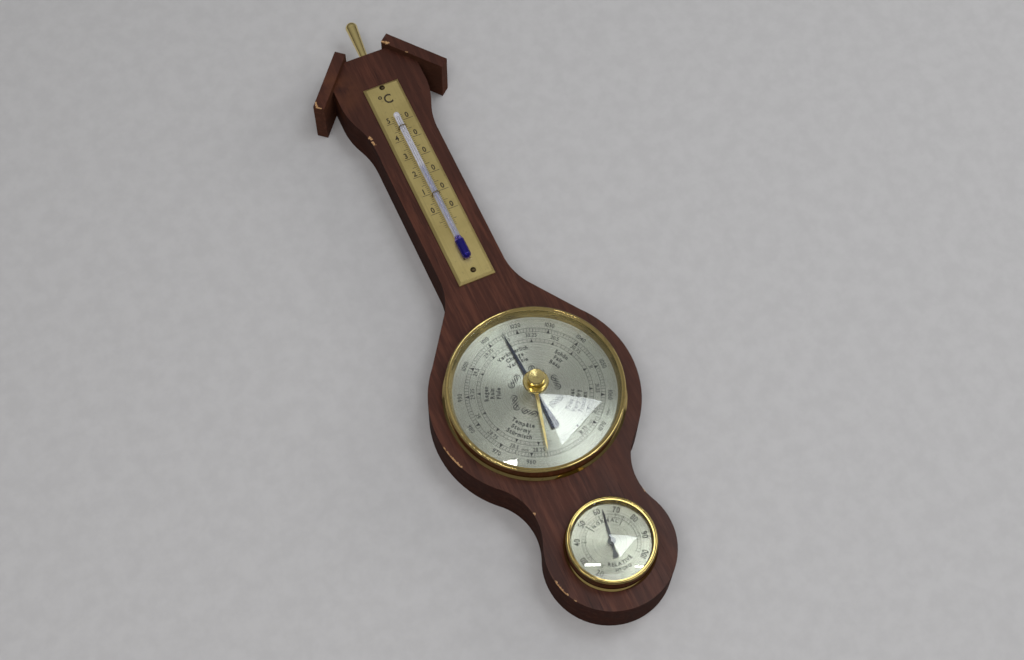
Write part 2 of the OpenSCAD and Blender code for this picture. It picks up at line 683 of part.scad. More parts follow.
// the chain links lie in line with the side of the pulley
module drive_chain() {
    pitch = 1.3;
    links = 18;
    color([0.55, 0.55, 0.53]) at_dial(chain_z) for (i = [0 : links - 1])
        translate([rock_x - 0.4 - i * pitch, chain_y, 0]) rotate([i % 2 * 90, 0, 0])
            translate([-0.8, -0.15, -0.08]) cube([1.6, 0.3, 0.16]);
}
// half turns of growing radius
module half_turns(r_start, step, turns, w, h) {
    for (i = [0 : turns - 1]) translate([i % 2 * step, 0, 0]) rotate([0, 0, i % 2 * 180])
        rotate_extrude(angle = 180) translate([r_start + i * step - w / 2, 0]) square([w, h]);
}
module hairspring() {
    color([0.40, 0.42, 0.48]) at_dial(cock_z + cock_t + 0.55) rotate([0, 0, 90])
        half_turns(2, 0.5, 8, 0.16, 0.4, $fn = 64);
}
module arbor_cock() {
    color([0.80, 0.64, 0.32]) at_dial() difference() {
        union() {
            translate([-4, -cock_post_y - 2.6, cock_z]) cube([8, 2 * cock_post_y + 5.2, cock_t]);
            for (s = [-1, 1]) translate([0, s * cock_post_y, base_top])
                cylinder(r = 2, h = cock_z - base_top, $fn = small_fn);
            translate([-0.5, 6.08, cock_z + cock_t]) cube([1, 0.8, 1.6]);
        }
        translate([0, 0, cock_z - 1]) cylinder(r = pivot_r + 0.05, h = 4, $fn = small_fn);
    }
}
module arbor_bridge() {
    low = cock_z + cock_t;
    color([0.80, 0.64, 0.32]) at_dial() difference() {
        union() {
            translate([-3, -bridge_post_y - 2, bridge_z]) cube([6, 2 * bridge_post_y + 4, bridge_t]);
            for (s = [-1, 1]) translate([0, s * bridge_post_y, low])
                cylinder(r = 1.4, h = bridge_z - low, $fn = small_fn);
        }
        translate([0, 0, bridge_z - 1]) cylinder(r = arbor_r + 0.05, h = 4, $fn = small_fn);
        for (s = [-1, 1]) translate([0, s * bridge_post_y, bridge_z - 4])
            cylinder(r = 0.7, h = 8, $fn = small_fn);
    }
}
// small cheese-head screws of the movement
module small_screw(l) {
    difference() {
        cylinder(r = 1.3, h = 0.8, $fn = small_fn);
        translate([-2, -0.15, 0.4]) cube([4, 0.3, 1]);
    }
    translate([0, 0, -l]) cylinder(r = 0.7, h = l + 0.1, $fn = small_fn);
}
module bridge_screws() {
    color([0.35, 0.37, 0.42]) at_dial() {
        for (s = [-1, 1]) translate([0, s * bridge_post_y, bridge_z + bridge_t]) small_screw(4);
        for (s = [-1, 1]) translate([lever_x - 7, s * 3.4, base_top + 1]) small_screw(0.95);
        for (s = [-1, 1]) translate([rock_x + 4.6, s * 3.4, base_top + 0.8]) small_screw(0.75);
    }
}

// hygrometer
module hygrometer_case() {
    color([0.72, 0.60, 0.34]) at_hygro() difference() {
        rotate_extrude($fn = 120) polygon([[0, hygro_case_z], [hygro_case_r, hygro_case_z],
            [hygro_case_r, board_t], [hygro_flange_r, board_t], [hygro_flange_r, spacer_z],
            [hygro_case_inner_r, spacer_z], [hygro_case_inner_r, hygro_case_z + 0.7],
            [0, hygro_case_z + 0.7]]);
        for (a = [45 : 90 : 315]) rotate([0, 0, a]) translate([16, 0, hygro_case_z - 1])
            cylinder(r = 1.5, h = 3, $fn = small_fn);
        for (s = [-1, 1]) translate([s * 10, 0, hygro_case_z - 1]) cylinder(r = 0.7, h = 3, $fn = small_fn);
    }
}
module hygrometer_spacer() {
    color([0.86, 0.86, 0.82]) at_hygro(spacer_z)
        ring(hygro_dial_r, hygro_case_inner_r, hygro_dial_z - spacer_z, $fn = 120);
}
module hygrometer_dial() {
    color([0.82, 0.76, 0.58]) at_hygro(hygro_dial_z) difference() {
        cylinder(r = hygro_dial_r, h = hygro_dial_t, $fn = 120);
        translate([0, 0, -1]) cylinder(r = 1.4, h = 3, $fn = small_fn);
    }
}
module hygrometer_sight_ring() {
    color([0.70, 0.48, 0.20]) at_hygro() rotate_extrude($fn = 120)
        polygon([[hygro_sight_r, hygro_dial_top], [hygro_glass_r, hygro_dial_top],
                 [hygro_glass_r, hygro_seat], [hygro_glass_r - 0.5, hygro_seat]]);
}
module hygrometer_glass() {
    color([0.85, 0.92, 0.95, 0.3]) at_hygro() difference() {
        intersection() {
            translate([0, 0, hygro_seat]) cylinder(r = hygro_glass_r, h = hygro_rise + 4, $fn = 120);
            translate([0, 0, hygro_centre_z]) sphere(r = hygro_sphere_r, $fn = 240);
        }
        translate([0, 0, hygro_centre_z]) sphere(r = hygro_sphere_r - hygro_glass_t, $fn = 240);
    }
}
module hygrometer_bezel() {
    color([0.82, 0.63, 0.24]) at_hygro() rotate_extrude($fn = 120)
        bezel_profile(hygro_bezel_r, hygro_foot_r, 1.4, hygro_bezel_h, 22.8, hygro_edge_z + 0.25);
}
module hygrometer_hand() {
    color([0.06, 0.06, 0.07]) at_hygro(hygro_hand_z) rotate([0, 0, hygro_hand_angle]) difference() {
        union() {
            translate([0, 0, -0.3]) cylinder(r = 2.2, h = 1.1, $fn = 48);
            linear_extrude(0.3) polygon([[0, -0.9], [hygro_hand_l - 3, -0.3], [hygro_hand_l, 0],
                [hygro_hand_l - 3, 0.3], [0, 0.9], [-5, 0.6], [-8.8, 1.5], [-9.4, 0],
                [-8.8, -1.5], [-5, -0.6]]);
        }
        translate([0, 0, -1]) cylinder(r = hygro_arbor_r, h = 3, $fn = small_fn);
    }
}
module hygrometer_arbor() {
    color([0.74, 0.74, 0.72]) at_hygro() {
        translate([0, 0, frame_z]) cylinder(r = 0.3, h = 2, $fn = small_fn);
        translate([0, 0, frame_z + frame_t + 0.3])
            cylinder(r = hygro_arbor_r, h = hygro_hand_z + 1.2 - frame_z - frame_t - 0.3, $fn = small_fn);
        translate([0, 0, coil_z - 0.4]) cylinder(r = 1.2, h = coil_h + 0.8, $fn = small_fn);
    }
}
module hygrometer_bush() {
    color([0.80, 0.64, 0.32]) at_hygro(hygro_dial_z - 1.2) difference() {
        union() {
            cylinder(r = 2.6, h = 1.2, $fn = small_fn);
            cylinder(r = 1.4, h = 1.2 + hygro_dial_t, $fn = small_fn);
        }
        translate([0, 0, -1]) cylinder(r = hygro_arbor_r + 0.05, h = 5, $fn = small_fn);
    }
}
module hygrometer_coil() {
    color([0.76, 0.60, 0.40]) at_hygro(coil_z) rotate([0, 0, -90])
        half_turns(1.9, 0.9, 8, 0.25, coil_h, $fn = 64);
}
module hygrometer_frame() {
    color([0.78, 0.66, 0.36]) at_hygro() difference() {
        union() {
            translate([0, 0, frame_z]) cylinder(r = frame_r, h = frame_t, $fn = 80);
            for (s = [-1, 1]) translate([s * 10, 0, hygro_case_z + 0.7])
                cylinder(r = 1.8, h = frame_z - hygro_case_z - 0.7, $fn = small_fn);
            translate([-1, -10.1, frame_z + frame_t]) cube([2, 0.87, coil_z + coil_h - frame_z - frame_t]);
        }
        translate([0, 0, frame_z - 1]) cylinder(r = 0.35, h = 4, $fn = small_fn);
        for (s = [-1, 1]) translate([s * 10, 0, hygro_case_z]) cylinder(r = 0.7, h = 5, $fn = small_fn);
    }
}
module frame_screws() {
    color([0.60, 0.60, 0.58]) at_hygro(hygro_case_z) for (s = [-1, 1]) translate([s * 10, 0, 0])
        mirror([0, 0, 1]) small_screw(4);
}

backboard();
pediment_left();
pediment_right();
finial();
hanging_plate();
hanging_screws();
thermometer_plate();
thermometer_tube();
thermometer_fluid();
tube_clips();
plate_screws();
barometer_case();
dial_spacer();
barometer_dial();
sight_ring();
barometer_glass();
barometer_bezel();
knob_collar();
collar_nut();
set_knob();
set_hand();
pressure_hand();
hand_arbor();
chain_pulley();
base_plate();
base_spacers();
case_screws();
dial_pillars();
aneroid_capsule();
adjusting_screw();
lever_bracket();
lever_pin();
main_lever();
link_rod();
rocking_shaft();
rocking_bracket();
drive_chain();
hairspring();
arbor_cock();
arbor_bridge();
bridge_screws();
hygrometer_case();
hygrometer_spacer();
hygrometer_dial();
hygrometer_sight_ring();
hygrometer_glass();
hygrometer_bezel();
hygrometer_hand();
hygrometer_arbor();
hygrometer_bush();
hygrometer_coil();
hygrometer_frame();
frame_screws();
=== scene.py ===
"""Looks for a banjo-shaped wall weather station: stained wood, brass, glass and printed dials.

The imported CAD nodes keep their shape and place. This script adds materials, the printed
scales, a floor, soft light and a camera.
"""
import math

import bmesh
import bpy
from mathutils import Matrix, Vector

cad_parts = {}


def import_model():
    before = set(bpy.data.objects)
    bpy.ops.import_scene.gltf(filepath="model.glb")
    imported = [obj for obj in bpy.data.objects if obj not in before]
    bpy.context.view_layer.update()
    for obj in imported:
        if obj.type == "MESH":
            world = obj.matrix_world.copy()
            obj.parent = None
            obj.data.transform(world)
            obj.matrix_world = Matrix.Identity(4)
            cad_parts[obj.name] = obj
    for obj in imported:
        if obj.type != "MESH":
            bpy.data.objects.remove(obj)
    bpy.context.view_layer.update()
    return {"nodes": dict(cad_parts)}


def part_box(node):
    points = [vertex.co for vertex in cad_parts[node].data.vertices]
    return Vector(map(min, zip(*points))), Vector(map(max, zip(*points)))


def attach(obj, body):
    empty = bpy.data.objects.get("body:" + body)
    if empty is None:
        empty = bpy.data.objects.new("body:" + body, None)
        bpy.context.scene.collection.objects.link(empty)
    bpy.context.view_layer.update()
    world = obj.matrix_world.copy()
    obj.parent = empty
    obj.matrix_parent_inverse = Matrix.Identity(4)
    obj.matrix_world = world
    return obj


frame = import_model()
nodes = frame["nodes"]

MM = 0.001
SCENE = bpy.context.scene


def centre(node):
    low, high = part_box(node)
    return (low + high) / 2


DIAL = centre("barometer_dial")
DIAL_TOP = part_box("barometer_dial")[1].z
HYGRO = centre("hygrometer_dial")
HYGRO_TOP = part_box("hygrometer_dial")[1].z
PLATE_LOW, PLATE_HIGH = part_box("thermometer_plate")
FRONT_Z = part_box("backboard")[1].z
TUBE_LOW, TUBE_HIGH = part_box("thermometer_tube")


# ---------------------------------------------------------------- material graph

class Graph:
    """One node material, with short calls for the nodes used again and again."""

    def __init__(self, name):
        self.mat = bpy.data.materials.new(name)
        self.mat.use_nodes = True
        self.tree = self.mat.node_tree
        self.shader = self.tree.nodes["Principled BSDF"]
        self.output = self.tree.nodes["Material Output"]
        self.coord = self.add("ShaderNodeTexCoord").outputs["Object"]

    def add(self, kind, **props):
        node = self.tree.nodes.new(kind)
        for key, value in props.items():
            setattr(node, key, value)
        return node

    def put(self, socket, value):
        if isinstance(value, bpy.types.NodeSocket):
            self.tree.links.new(value, socket)
        elif value is not None:
            socket.default_value = value

    def set(self, **values):
        for key, value in values.items():
            name = key.replace("_", " ")
            if isinstance(value, tuple) and len(value) == 3 and "Color" in name:
                value = value + (1.0,)
            self.put(self.shader.inputs[name], value)

    def math(self, operation, a, b=0.0, clamp=False):
        node = self.add("ShaderNodeMath", operation=operation, use_clamp=clamp)
        self.put(node.inputs[0], a)
        self.put(node.inputs[1], b)
        return node.outputs[0]

    def vector(self, operation, a, b=None):
        node = self.add("ShaderNodeVectorMath", operation=operation)
        self.put(node.inputs[0], a)
        self.put(node.inputs[1], b)
        gives_number = operation in ("LENGTH", "DISTANCE", "DOT_PRODUCT")
        return node.outputs["Value" if gives_number else "Vector"]

    def split(self, vector):
        node = self.add("ShaderNodeSeparateXYZ")
        self.put(node.inputs[0], vector)
        return node.outputs

    def mapped(self, vector, scale=(1, 1, 1), turn=(0, 0, 0)):
        node = self.add("ShaderNodeMapping")
        self.put(node.inputs["Vector"], vector)
        node.inputs["Rotation"].default_value = turn
        node.inputs["Scale"].default_value = scale
        return node.outputs[0]

    def noise(self, scale, stretch=(1, 1, 1), detail=3.0, roughness=0.5, turn=(0, 0, 0)):
        node = self.add("ShaderNodeTexNoise")
        self.put(node.inputs["Vector"], self.mapped(self.coord, stretch, turn))
        node.inputs["Scale"].default_value = scale
        node.inputs["Detail"].default_value = detail
        node.inputs["Roughness"].default_value = roughness
        return node.outputs["Fac"]

    def span(self, value, low, high, out_low=0.0, out_high=1.0):
        node = self.add("ShaderNodeMapRange", interpolation_type="SMOOTHSTEP")
        for socket, given in zip(node.inputs, (value, low, high, out_low, out_high)):
            self.put(socket, given)
        return node.outputs[0]

    def mix(self, factor, a, b):
        node = self.add("ShaderNodeMix", data_type="RGBA")
        self.put(node.inputs[0], factor)
        for socket, given in ((node.inputs[6], a), (node.inputs[7], b)):
            self.put(socket, given + (1.0,) if isinstance(given, tuple) else given)
        return node.outputs[2]

    def bump(self, height, distance, strength=1.0):
        node = self.add("ShaderNodeBump")
        node.inputs["Strength"].default_value = strength
        node.inputs["Distance"].default_value = distance
        self.put(node.inputs["Height"], height)
        return node.outputs[0]

    def edge(self, radius):
        """0 on a flat face, rising to 1 on a corner of the solid."""
        bevel = self.add("ShaderNodeBevel", samples=6)
        bevel.inputs["Radius"].default_value = radius
        flat = self.add("ShaderNodeNewGeometry").outputs["Normal"]
        facing = self.vector("DOT_PRODUCT", bevel.outputs[0], flat)
        return self.span(facing, 0.995, 0.80)

    def across_rings(self, middle):
        """Direction along the surface that crosses the turning marks around an upright axis."""
        x, y, _ = self.split(self.vector("SUBTRACT", self.coord, tuple(middle)))
        node = self.add("ShaderNodeCombineXYZ")
        self.put(node.inputs[0], self.math("MULTIPLY", y, -1.0))
        self.put(node.inputs[1], x)
        normal = self.add("ShaderNodeNewGeometry").outputs["Normal"]
        return self.vector("NORMALIZE", self.vector("CROSS_PRODUCT", normal, node.outputs[0]))

    def radius(self, middle):
        x, y, _ = self.split(self.vector("SUBTRACT", self.coord, tuple(middle)))
        squares = self.math("ADD", self.math("MULTIPLY", x, x), self.math("MULTIPLY", y, y))
        return self.math("SQRT", squares)


# ---------------------------------------------------------------- wood

# Pale knocks on the front edges: ends and width in mm, from the dial's centre.
BOARD_CHIPS = [
    (-60.5, -8.2, -59.1, -15.0, 0.75), (-59.1, -15.0, -56.2, -23.5, 1.05),
    (-36.0, -104.9, -35.4, -109.0, 0.9), (-35.4, -109.0, -33.7, -114.0, 1.3),
    (-20.8, 198.0, -19.9, 196.6, 1.4), (-20.4, 193.9, -19.6, 192.0, 1.1),
    (-31.2, -118.6, -30.4, -119.4, 0.8), (-30.3, -65.0, -30.3, -65.8, 0.6),
    (31.1, -75.9, 32.1, -78.9, 0.8),
]
PEDIMENT_CHIPS = [
    (-42.2, 231.6, -43.0, 228.0, 1.1), (-43.0, 228.0, -41.0, 226.4, 1.0),
    (12.6, 257.8, 15.4, 255.8, 1.5), (23.4, 244.6, 24.0, 243.9, 0.8),
]


# How far the outline of a knock wanders, in metres.
CHIP_RAGGED = 0.0026
# Place of the rubbed-through stain on the head, from the dial's centre, in metres.
RUB_X, RUB_Y = -0.0265, 0.236


def scrape(g, ends, front_z):
    """Distance from a short straight knock that runs between two points."""
    x0, y0, x1, y1 = (v * MM for v in ends[:4])
    start = Vector((DIAL.x + x0, DIAL.y + y0, front_z))
    run = Vector((x1 - x0, y1 - y0, 0.0))
    offset = g.vector("SUBTRACT", g.coord, tuple(start))
    ahead = g.vector("DOT_PRODUCT", offset, tuple(run))
    share = g.math("DIVIDE", ahead, run.length_squared, clamp=True)
    along = g.add("ShaderNodeVectorMath", operation="SCALE")
    along.inputs[0].default_value = tuple(run)
    g.put(along.inputs["Scale"], share)
    return g.vector("DISTANCE", offset, along.outputs["Vector"])


def wood(name, turn, chips, front_z, painted_side_tone, painted_side_share):
    g = Graph(name)
    along = (1.0, 0.075, 1.0)
    figure = g.noise(70, along, 5, 0.66, turn=turn)
    fine = g.noise(380, along, 4, 0.65, turn=turn)
    pores = g.span(g.noise(1150, (1.0, 0.05, 1.0), 2, 0.5, turn=turn), 0.60, 0.70)
    cloud = g.noise(15, (1.0, 0.5, 1.0), 3, 0.55)
    colour = g.mix(g.span(figure, 0.38, 0.64), (0.049, 0.0132, 0.0076), (0.074, 0.0210, 0.0115))
    colour = g.mix(g.math("MULTIPLY", g.span(fine, 0.42, 0.68), 0.65), colour,
            (0.140, 0.0450, 0.0260))
    colour = g.mix(g.math("MULTIPLY", g.span(cloud, 0.48, 0.66), 0.55), colour,
            (0.056, 0.0190, 0.0125))
    colour = g.mix(g.math("MULTIPLY", pores, 0.5), colour, (0.018, 0.0062, 0.0042))
    normal_z = g.math("ABSOLUTE", g.split(g.add("ShaderNodeNewGeometry").outputs["Normal"])[2])
    side = g.span(normal_z, 0.9, 0.3)
    # painted light and shade on the side faces: their colour is pulled toward the given tone by how
    # much they face sideways; on the backboard this is painted shade, on the pediments painted light
    colour = g.mix(g.math("MULTIPLY", side, painted_side_share), colour, painted_side_tone)
    # rubbed-through stain near the top left of the head
    rub = g.vector("DISTANCE", g.coord, (DIAL.x + RUB_X, DIAL.y + RUB_Y, front_z))
    rub = g.math("MULTIPLY", g.span(rub, 0.021, 0.004), g.span(g.noise(60, detail=4), 0.38, 0.62))
    colour = g.mix(g.math("MULTIPLY", rub, 0.7), colour, (0.135, 0.046, 0.020))
    edge = g.edge(0.0007)
    scuff = g.math("MULTIPLY", edge, g.span(g.noise(130, detail=5, roughness=0.7), 0.50, 0.66))
    colour = g.mix(g.math("MULTIPLY", scuff, 0.42), colour, (0.19, 0.078, 0.040))
    ragged = g.noise(900, detail=3)
    bare = None
    for ends in chips:
        away = g.math("ADD", scrape(g, ends, front_z),
                g.math("MULTIPLY", g.math("SUBTRACT", ragged, 0.5), CHIP_RAGGED))
        spot = g.span(away, ends[4] * MM * 0.72, ends[4] * MM * 0.5)
        bare = spot if bare is None else g.math("MAXIMUM", bare, spot)
    colour = g.mix(bare, colour, g.mix(g.span(ragged, 0.4, 0.6), (0.62, 0.37, 0.18),
            (0.40, 0.21, 0.09)))
    height = g.math("SUBTRACT", g.math("MULTIPLY", fine, 0.35), pores)
    height = g.math("SUBTRACT", height, g.math("MULTIPLY", bare, 2.5))
    normal = g.bump(height, 0.00006, 0.7)
    rough = g.math("ADD", g.span(figure, 0.3, 0.7, 0.44, 0.56), g.math("MULTIPLY", bare, 0.25))
    g.set(Base_Color=colour, Normal=normal, Coat_Roughness=0.30,
          Coat_Weight=g.span(side, 0.0, 1.0, 0.10, 0.0),
          Specular_IOR_Level=g.span(side, 0.0, 1.0, 0.26, 0.10),
          Roughness=g.math("ADD", rough, g.math("MULTIPLY", side, 0.35)))
    return g.mat


# ---------------------------------------------------------------- metals

def brass(name, base, dark, low, high, scratch, spots):
    g = Graph(name)
    tarnish = g.span(g.noise(85, detail=5, roughness=0.68), 0.47, 0.72)
    specks = g.span(g.noise(820, detail=2), 0.66, 0.76)
    colour = g.mix(g.math("MULTIPLY", tarnish, spots), base, dark)
    colour = g.mix(g.math("MULTIPLY", specks, spots), colour,
            (dark[0] * 0.55, dark[1] * 0.5, dark[2] * 0.5))
    fine = g.noise(1900, detail=2)
    rough = g.math("ADD", g.span(fine, 0.3, 0.7, low, high), g.math("MULTIPLY", tarnish, 0.07))
    g.set(Base_Color=colour, Metallic=1.0, Roughness=rough,
          Normal=g.bump(fine, 0.000004 * scratch, 0.25))
    return g.mat


def turned_brass(name, middle, base, dark, low, high):
    """Polished on a spindle, so its marks run around it."""
    g = Graph(name)
    tarnish = g.span(g.noise(110, detail=5, roughness=0.7), 0.50, 0.74)
    specks = g.span(g.noise(900, detail=2), 0.67, 0.76)
    colour = g.mix(g.math("MULTIPLY", tarnish, 0.45), base, dark)
    colour = g.mix(g.math("MULTIPLY", specks, 0.55), colour,
            (dark[0] * 0.5, dark[1] * 0.45, dark[2] * 0.4))
    rings = g.add("ShaderNodeTexNoise", noise_dimensions="1D")
    g.put(rings.inputs["W"], g.math("ADD", g.radius(middle), g.split(g.coord)[2]))
    rings.inputs["Scale"].default_value = 4200
    rings.inputs["Detail"].default_value = 2
    rough = g.math("ADD", g.span(rings.outputs[0], 0.3, 0.7, low, high),
            g.math("MULTIPLY", tarnish, 0.08))
    g.set(Base_Color=colour, Metallic=1.0, Roughness=rough,
            Normal=g.bump(rings.outputs[0], 0.0000004, 0.05))
    return g.mat


def satin_brass(name):
    g = Graph(name)
    brushed = g.noise(1500, (1.0, 0.02, 1.0), 3)
    cloud = g.noise(38, detail=4, roughness=0.6)
    stain = g.span(g.noise(430, detail=3), 0.66, 0.74)
    colour = g.mix(g.span(cloud, 0.35, 0.68), (0.66, 0.53, 0.215), (0.56, 0.44, 0.170))
    colour = g.mix(g.math("MULTIPLY", g.span(brushed, 0.5, 0.75), 0.35), colour,
            (0.46, 0.35, 0.14))
    colour = g.mix(g.math("MULTIPLY", stain, 0.35), colour, (0.30, 0.21, 0.09))
    g.set(Base_Color=colour, Metallic=0.78, Roughness=g.span(brushed, 0.25, 0.75, 0.36, 0.47),
          Normal=g.bump(brushed, 0.000006, 0.6), Coat_Weight=0.25, Coat_Roughness=0.2)
    return g.mat


def spun(name, middle, base, second, roughness, anisotropic):
    """Sheet spun or turned on its face: very fine rings that show as light and dark wedges."""
    g = Graph(name)
    rings = g.add("ShaderNodeTexNoise", noise_dimensions="1D")
    g.put(rings.inputs["W"], g.radius(middle))
    rings.inputs["Scale"].default_value = 5200
    rings.inputs["Detail"].default_value = 3
    cloud = g.noise(42, detail=3)
    dust = g.span(g.noise(1400, detail=2), 0.68, 0.78)
    colour = g.mix(g.span(cloud, 0.3, 0.7), base, second)
    colour = g.mix(g.math("MULTIPLY", g.span(rings.outputs[0], 0.35, 0.75), 0.22), colour,
                   tuple(v * 0.72 for v in base))
    colour = g.mix(g.math("MULTIPLY", dust, 0.25), colour, (0.2, 0.19, 0.16))
    low, high = roughness
    g.set(Base_Color=colour, Metallic=0.86, Anisotropic=anisotropic,
            Tangent=g.across_rings(middle),
          Roughness=g.span(rings.outputs[0], 0.3, 0.7, low, high),
          Normal=g.bump(rings.outputs[0], 0.0000022, 0.5), Coat_Weight=0.15, Coat_Roughness=0.25)
    return g.mat


def plain_metal(name, base, second, low, high, metallic=1.0, coat=0.0, stretch=(1, 1, 1)):
    g = Graph(name)
    cloud = g.noise(120, detail=4, roughness=0.6)
    marks = g.noise(1600, stretch, 3)
    colour = g.mix(g.span(cloud, 0.35, 0.68), base, second)
    g.set(Base_Color=colour, Metallic=metallic, Roughness=g.span(marks, 0.3, 0.7, low, high),
          Normal=g.bump(marks, 0.000006, 0.5), Coat_Weight=coat, Coat_Roughness=0.2)
    return g.mat


# ---------------------------------------------------------------- glass and spirit

def open_to_light(g, surface):
    """Lets lamp light through the glass, so that what is behind it is lit."""
    clear = g.add("ShaderNodeBsdfTransparent")
    path = g.add("ShaderNodeLightPath")
    both = g.math("MAXIMUM", path.outputs["Is Shadow Ray"], path.outputs["Is Diffuse Ray"])
    mixer = g.add("ShaderNodeMixShader")
    g.put(mixer.inputs[0], both)
    g.put(mixer.inputs[1], surface)
    g.put(mixer.inputs[2], clear.outputs[0])
    g.put(g.output.inputs["Surface"], mixer.outputs[0])


def glass(name, tint):
    g = Graph(name)
    dust = g.noise(700, detail=3)
    smear = g.noise(30, detail=4)
    rough = g.math("MULTIPLY", g.span(smear, 0.5, 0.75), g.span(dust, 0.5, 0.8, 0.0, 0.05))
    g.set(Base_Color=g.mix(g.span(smear, 0.3, 0.7), tint, (0.99, 0.995, 0.99)), Roughness=rough,
          Transmission_Weight=1.0, IOR=1.5, Specular_IOR_Level=0.2)
    open_to_light(g, g.shader.outputs[0])
    return g.mat


# Heights along the tube where its look changes.
BULB_SHOULDER = TUBE_LOW.y + 0.0150
SPIRIT_BULB_END = TUBE_LOW.y + 0.0155
STEM_START = TUBE_LOW.y + 0.0162
BULB_TINT_END = TUBE_LOW.y + 0.0168


def tube_glass(name):
    """Thermometer tube: blue at the bulb, clear above it, with a white enamelled back."""
    g = Graph(name)
    _, y, z = g.split(g.coord)
    axis_z = (TUBE_LOW.z + TUBE_HIGH.z) / 2
    back = g.span(z, axis_z + 0.0008, axis_z + 0.0001)
    above = g.span(y, BULB_SHOULDER, STEM_START)
    enamel = g.add("ShaderNodeBsdfPrincipled")
    streak = g.noise(900, (1.0, 0.1, 1.0), 3)
    g.put(enamel.inputs["Base Color"], g.mix(g.span(streak, 0.3, 0.7), (0.72, 0.70, 0.75),
            (0.62, 0.62, 0.70)))
    enamel.inputs["Roughness"].default_value = 0.35
    clear_tone = g.mix(g.span(streak, 0.3, 0.7), (0.97, 0.975, 1.0), (0.93, 0.94, 0.99))
    bulb_tone = g.mix(g.span(streak, 0.3, 0.7), (0.16, 0.10, 0.80), (0.10, 0.06, 0.66))
    g.set(Base_Color=g.mix(g.span(y, BULB_TINT_END, BULB_SHOULDER), clear_tone, bulb_tone),
          Roughness=g.span(streak, 0.4, 0.8, 0.0, 0.05), Transmission_Weight=1.0, IOR=1.48)
    both = g.add("ShaderNodeMixShader")
    g.put(both.inputs[0], g.math("MULTIPLY", back, above))
    g.put(both.inputs[1], g.shader.outputs[0])
    g.put(both.inputs[2], enamel.outputs[0])
    open_to_light(g, both.outputs[0])
    return g.mat


def spirit(name):
    g = Graph(name)
    swirl = g.noise(420, detail=3)
    y = g.split(g.coord)[1]
    bulb = g.span(y, SPIRIT_BULB_END, BULB_SHOULDER)
    deep = g.mix(g.span(swirl, 0.4, 0.65), (0.014, 0.003, 0.17), (0.022, 0.008, 0.15))
    thread = g.mix(g.span(swirl, 0.4, 0.65), (0.13, 0.14, 0.38), (0.19, 0.20, 0.46))
    g.set(Base_Color=g.mix(bulb, thread, deep), Roughness=g.span(swirl, 0.3, 0.7, 0.10, 0.2),
          Coat_Weight=0.6, Coat_Roughness=0.04,
          Normal=g.bump(swirl, 0.00002, 0.5))
    return g.mat


def enamel(name, base, second, roughness, coat):
    g = Graph(name)
    fleck = g.noise(1500, detail=3)
    g.set(Base_Color=g.mix(g.span(fleck, 0.4, 0.7), base, second), Metallic=0.2, Coat_Weight=coat,
            Coat_Roughness=0.15,
          Roughness=g.span(fleck, 0.3, 0.7, roughness, roughness + 0.12),
          Normal=g.bump(fleck, 0.000004, 0.5))
    return g.mat


def ink(name, base, second):
    g = Graph(name)
    cover = g.noise(2600, detail=3)
    g.set(Base_Color=g.mix(g.span(cover, 0.45, 0.75), base, second),
          Roughness=g.span(cover, 0.3, 0.7, 0.42, 0.6), Normal=g.bump(cover, 0.000003, 0.5))
    return g.mat


SLOPE = math.radians(50.3)  # of the pediment boards, from level
PEDIMENT_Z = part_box("pediment_left")[1].z
# backboard: its side faces get a darker tone, which is painted shade
wood_board = wood("stained_wood", (0, 0, 0), BOARD_CHIPS, FRONT_Z, (0.020, 0.0084, 0.0060), 0.55)
# pediments: their side and end faces get a lighter tone, which is painted light
wood_left = wood("stained_wood_left", (0, 0, math.pi / 2 - SLOPE), PEDIMENT_CHIPS, PEDIMENT_Z,
        (0.130, 0.062, 0.036), 0.3)
wood_right = wood("stained_wood_right", (0, 0, SLOPE - math.pi / 2), PEDIMENT_CHIPS, PEDIMENT_Z,
        (0.130, 0.062, 0.036), 0.3)
GOLD, GOLD_DARK = (0.54, 0.41, 0.165), (0.22, 0.15, 0.055)
rim_brass = turned_brass("polished_brass_bezel", DIAL, GOLD, GOLD_DARK, 0.025, 0.06)
small_rim_brass = turned_brass("polished_brass_small_bezel", HYGRO, (0.40, 0.30, 0.11), GOLD_DARK,
        0.02, 0.05)
knob_brass = turned_brass("polished_brass_knob", DIAL, (0.80, 0.65, 0.28), GOLD_DARK, 0.10, 0.20)
hand_brass = plain_metal("polished_brass_hand", (0.90, 0.74, 0.32), (0.80, 0.64, 0.26), 0.26, 0.38,
        metallic=0.8)
cast_brass = brass("polished_brass_finial", (0.84, 0.68, 0.30), (0.52, 0.40, 0.16), 0.07, 0.13,
        0.3, 0.35)
clear = glass("clear_glass", (0.965, 0.985, 0.97))
steel = plain_metal("movement_steel", (0.56, 0.56, 0.54), (0.46, 0.46, 0.45), 0.28, 0.42)
works_brass = plain_metal("movement_brass", (0.72, 0.55, 0.26), (0.60, 0.44, 0.20), 0.25, 0.4)
case_metal = plain_metal("case_metal", (0.66, 0.53, 0.29), (0.55, 0.43, 0.22), 0.3, 0.42)
plate_steel = plain_metal("hanger_steel", (0.62, 0.54, 0.34), (0.5, 0.43, 0.27), 0.3, 0.45,
        stretch=(0.1, 1, 1))
spacer = enamel("white_spacer", (0.66, 0.66, 0.62), (0.60, 0.60, 0.57), 0.5, 0.1)
black = enamel("black_hand", (0.008, 0.008, 0.010), (0.014, 0.013, 0.016), 0.3, 0.6)
blued = plain_metal("blued_steel", (0.060, 0.072, 0.115), (0.035, 0.042, 0.062), 0.22, 0.34,
        coat=0.3,
                    stretch=(1, 1, 1))
coil = plain_metal("coil_strip", (0.62, 0.45, 0.26), (0.52, 0.37, 0.2), 0.3, 0.45)
